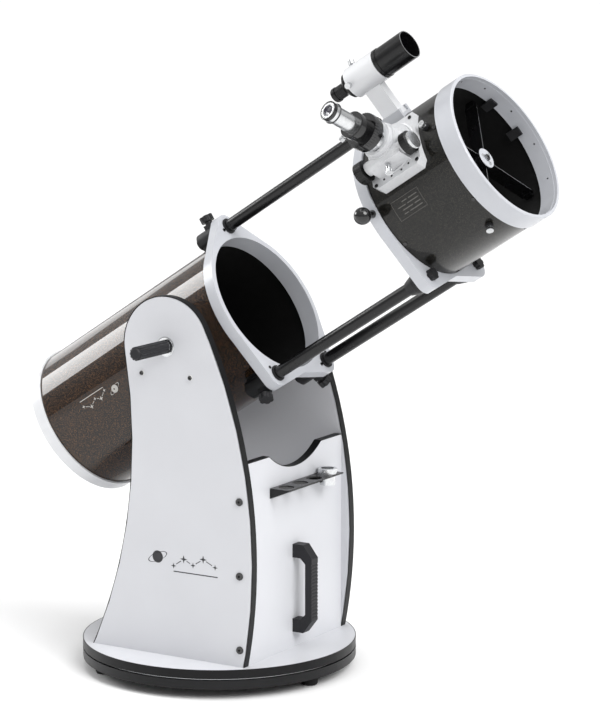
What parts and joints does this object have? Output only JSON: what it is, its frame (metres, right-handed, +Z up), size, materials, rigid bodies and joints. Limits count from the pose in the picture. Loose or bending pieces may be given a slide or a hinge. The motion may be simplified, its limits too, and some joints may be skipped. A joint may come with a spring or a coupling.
{
  "type": "dobsonian telescope",
  "caption": "Collapsible-truss Newtonian reflector on a turntable rocker, with focuser, finder and eyepiece rack.",
  "frame": {"origin": "on the floor, on the vertical azimuth axis", "axes": "+Z up; +X the way the tube opens; +Y the far side, so the near side board is at -Y"},
  "size_m": [1.1204, 0.595, 1.2839],
  "materials": {
    "board_white": "white melamine laminate on particle board",
    "board_black": "black laminate",
    "edge_black": "satin plastic edge band",
    "foot_rubber": "matte",
    "slide_white": "smooth low-friction plastic",
    "steel": "bright zinc",
    "black_plastic": "fine grain",
    "black_metal": "black anodised",
    "tube_brown": "metallic dark bronze with sparkle, clear coat",
    "cage_black": "metallic black, clear coat",
    "white_metal": "white enamel on cast metal",
    "bright_metal": "bright turned",
    "mirror_glass": "aluminised glass"
  },
  "bodies": {
    "ground": {"ground_board": "board_black", "feet": "foot_rubber", "glide_pads": "slide_white", "azimuth_bolt": "steel"},
    "azimuth_nut": {"azimuth_knob": "black_plastic"},
    "rocker": {"base_board": "board_white", "glide_ring": "steel", "side_board_near": "board_white", "side_board_far": "board_white", "edge_bands": "edge_black", "front_board": "board_white", "board_bolts": "black_plastic", "bearing_posts": "slide_white", "eyepiece_rack": "black_metal", "carry_handle": "black_plastic"},
    "racked_adapter": {"rack_adapter": "bright_metal"},
    "tube": {"altitude_bearings": "slide_white", "lower_tube": "tube_brown", "bottom_ring": "white_metal", "mirror_cell": "black_metal", "primary_mirror": "mirror_glass", "mirror_clips": "black_plastic", "cell_lock_screws": "black_plastic", "lower_ring": "white_metal", "rod_bushes": "black_plastic", "clamp_blocks": "black_plastic"},
    "handle_near": {"altitude_handle_near": "black_plastic"},
    "handle_far": {"altitude_handle_far": "black_plastic"},
    "collimator_a": {"collimation_knob_a": "steel"},
    "collimator_b": {"collimation_knob_b": "steel"},
    "collimator_c": {"collimation_knob_c": "steel"},
    "clamp_top": {"clamp_knob_top": "black_plastic"},
    "clamp_near": {"clamp_knob_near": "black_plastic"},
    "clamp_far": {"clamp_knob_far": "black_plastic"},
    "cage": {"truss_rods": "black_metal", "rod_sleeves": "black_plastic", "upper_ring": "white_metal", "rod_end_knobs": "black_plastic", "upper_tube": "cage_black", "top_ring": "white_metal", "ring_pads": "black_plastic", "spider": "black_metal", "vane_nuts": "steel", "secondary_holder": "black_metal", "secondary_mirror": "mirror_glass", "secondary_screws": "steel", "focuser_base": "white_metal", "finder_shoe": "white_metal", "tube_screws": "black_plastic"},
    "ball": {"ball_knob": "black_plastic"},
    "drawtube": {"focuser_drawtube": "bright_metal", "drawtube_clamp": "black_metal"},
    "coarse_focus": {"focuser_knobs": "black_metal"},
    "fine_focus": {"fine_knob": "bright_metal"},
    "focus_lock": {"focuser_lock_screw": "steel"},
    "ocular": {"eyepiece": "bright_metal"},
    "ocular_lock": {"eyepiece_lock_screw": "steel"},
    "finder": {"finder_bracket": "white_metal", "finder_tube": "black_metal", "finder_screws": "steel"}
  },
  "joints": [
    {"name": "azimuth_turn", "type": "hinge", "parent": "ground", "child": "rocker", "pos_m": [0, 0, 0.06], "axis": [0, 0, 1], "continuous": true},
    {"name": "azimuth_nut_turn", "type": "hinge", "parent": "ground", "child": "azimuth_nut", "pos_m": [0, 0, 0.06], "axis": [0, 0, 1], "range_deg": [-180, 180]},
    {"name": "altitude_tilt", "type": "hinge", "parent": "rocker", "child": "tube", "pos_m": [0.005, 0, 0.673], "axis": [0, -1, 0], "range_deg": [-32.6, 57.4]},
    {"name": "truss_fold", "type": "slide", "parent": "tube", "child": "cage", "axis": [-0.8425, 0, -0.5388], "range_m": [0, 0.33]},
    {"name": "altitude_tension_near", "type": "hinge", "parent": "tube", "child": "handle_near", "pos_m": [0.005, -0.1925, 0.673], "axis": [0, -1, 0], "range_deg": [-180, 180]},
    {"name": "altitude_tension_far", "type": "hinge", "parent": "tube", "child": "handle_far", "pos_m": [0.005, 0.1925, 0.673], "axis": [0, 1, 0], "range_deg": [-180, 180]},
    {"name": "rod_clamp_top", "type": "hinge", "parent": "tube", "child": "clamp_top", "pos_m": [-0.02188, 0, 0.89321], "axis": [-0.5388, 0, 0.8425], "range_deg": [-180, 180]},
    {"name": "rod_clamp_near", "type": "hinge", "parent": "tube", "child": "clamp_near", "pos_m": [0.17726, -0.10598, 0.58183], "axis": [0.4569, -0.5299, -0.7144], "range_deg": [-180, 180]},
    {"name": "rod_clamp_far", "type": "hinge", "parent": "tube", "child": "clamp_far", "pos_m": [0.17726, 0.10598, 0.58183], "axis": [0.4569, 0.5299, -0.7144], "range_deg": [-180, 180]},
    {"name": "collimation_a", "type": "hinge", "parent": "tube", "child": "collimator_a", "pos_m": [-0.35533, 0, 0.54227], "axis": [-0.8425, 0, -0.5388], "range_deg": [-180, 180]},
    {"name": "collimation_b", "type": "hinge", "parent": "tube", "child": "collimator_b", "pos_m": [-0.28745, -0.07275, 0.43612], "axis": [-0.8425, 0, -0.5388], "range_deg": [-180, 180]},
    {"name": "collimation_c", "type": "hinge", "parent": "tube", "child": "collimator_c", "pos_m": [-0.28745, 0.07275, 0.43612], "axis": [-0.8425, 0, -0.5388], "range_deg": [-180, 180]},
    {"name": "ball_knob_turn", "type": "hinge", "parent": "cage", "child": "ball", "pos_m": [0.44055, -0.16, 0.95154], "axis": [0, -1, 0], "range_deg": [-180, 180]},
    {"name": "focus_travel", "type": "slide", "parent": "cage", "child": "drawtube", "axis": [-0.2855, -0.848, 0.4464], "range_m": [-0.006, 0.032]},
    {"name": "coarse_focus_turn", "type": "hinge", "parent": "cage", "child": "coarse_focus", "pos_m": [0.47941, -0.17077, 1.05968], "axis": [0.8425, 0, 0.5388], "range_deg": [-58.3, 306.58]},
    {"name": "fine_focus_turn", "type": "hinge", "parent": "cage", "child": "fine_focus", "pos_m": [0.52996, -0.17077, 1.092], "axis": [0.8425, 0, 0.5388], "range_deg": [-578, 3060.8]},
    {"name": "focus_lock_turn", "type": "hinge", "parent": "cage", "child": "focus_lock", "pos_m": [0.4859, -0.1783, 1.04953], "axis": [0.4569, -0.5299, -0.7144], "range_deg": [-180, 180]},
    {"name": "eyepiece_pull", "type": "slide", "parent": "drawtube", "child": "ocular", "axis": [-0.2855, -0.848, 0.4464], "range_m": [0, 0.08]},
    {"name": "eyepiece_lock_turn", "type": "hinge", "parent": "drawtube", "child": "ocular_lock", "pos_m": [0.44141, -0.22516, 1.1191], "axis": [-0.6354, -0.1812, -0.7506], "range_deg": [-180, 180]},
    {"name": "finder_slide", "type": "slide", "parent": "cage", "child": "finder", "axis": [0.8425, 0, 0.5388], "range_m": [0, 0.055]},
    {"name": "adapter_lift", "type": "slide", "parent": "rocker", "child": "racked_adapter", "axis": [0, 0, 1], "range_m": [0, 0.08]}
  ],
  "couplings": [
    {"joint": "coarse_focus_turn", "follows": "focus_travel", "rad_per_m": 166.67},
    {"joint": "fine_focus_turn", "follows": "focus_travel", "rad_per_m": 1666.7}
  ]
}
